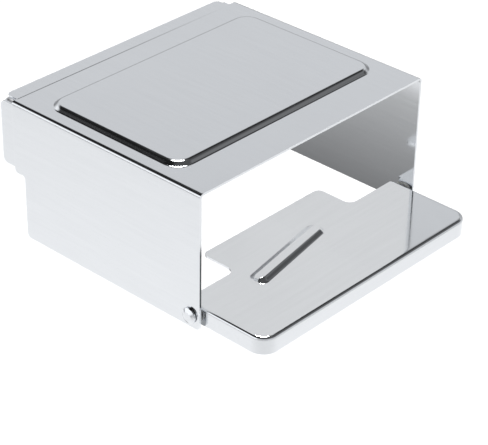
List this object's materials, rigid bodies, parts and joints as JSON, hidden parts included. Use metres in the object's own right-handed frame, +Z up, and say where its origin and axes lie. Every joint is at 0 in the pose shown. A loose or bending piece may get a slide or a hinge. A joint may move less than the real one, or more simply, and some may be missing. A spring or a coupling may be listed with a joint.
{
  "type": "toilet paper holder",
  "caption": "Wall-hung covered toilet paper holder: bent sheet hood with raised platform, hinged T-shaped front flap and telescopic sprung roll spindle.",
  "frame": {"origin": "on the wall's face, at the centre of the four wall-screw holes", "axes": "+X to the right as a user faces the holder, +Y into the wall, +Z up"},
  "size_m": [0.1438, 0.1531, 0.0668],
  "materials": {
    "polished_steel": "polished",
    "satin_steel": "satin brushed",
    "turned_steel": "turned",
    "tube_steel": "polished tube",
    "nylon": "matt moulded",
    "spring_steel": "drawn wire"
  },
  "bodies": {
    "frame": {"hood_shell": "polished_steel", "back_plate": "satin_steel", "roll_arm_left": "satin_steel", "roll_arm_right": "satin_steel", "arm_rivets_left": "turned_steel", "arm_rivets_right": "turned_steel", "arm_cup_left": "nylon", "arm_cup_right": "nylon", "hinge_bush_left": "nylon", "hinge_bush_right": "nylon"},
    "flap": {"front_flap": "polished_steel", "hinge_pin_left": "turned_steel", "hinge_pin_right": "turned_steel", "hinge_washer_left": "spring_steel", "hinge_washer_right": "spring_steel", "pin_clip_left": "spring_steel", "pin_clip_right": "spring_steel"},
    "spindle_outer": {"spindle_sleeve": "tube_steel", "spindle_tip_left": "turned_steel", "spindle_spring": "spring_steel"},
    "spindle_inner": {"spindle_tube": "tube_steel", "spindle_tip_right": "turned_steel"}
  },
  "joints": [
    {"name": "flap_swing", "type": "hinge", "parent": "frame", "child": "flap", "pos_m": [0, -0.1141, -0.04195], "axis": [1, 0, 0], "range_deg": [-90, 100]},
    {"name": "spindle_spin", "type": "hinge", "parent": "frame", "child": "spindle_outer", "pos_m": [0, -0.0575, -0.02055], "axis": [1, 0, 0], "continuous": true},
    {"name": "spindle_squeeze", "type": "slide", "parent": "spindle_outer", "child": "spindle_inner", "axis": [1, 0, 0], "range_m": [-0.008, 0], "stiffness_N_per_m": 350, "springref_m": 0.01, "deforming": ["spindle_spring"]}
  ]
}
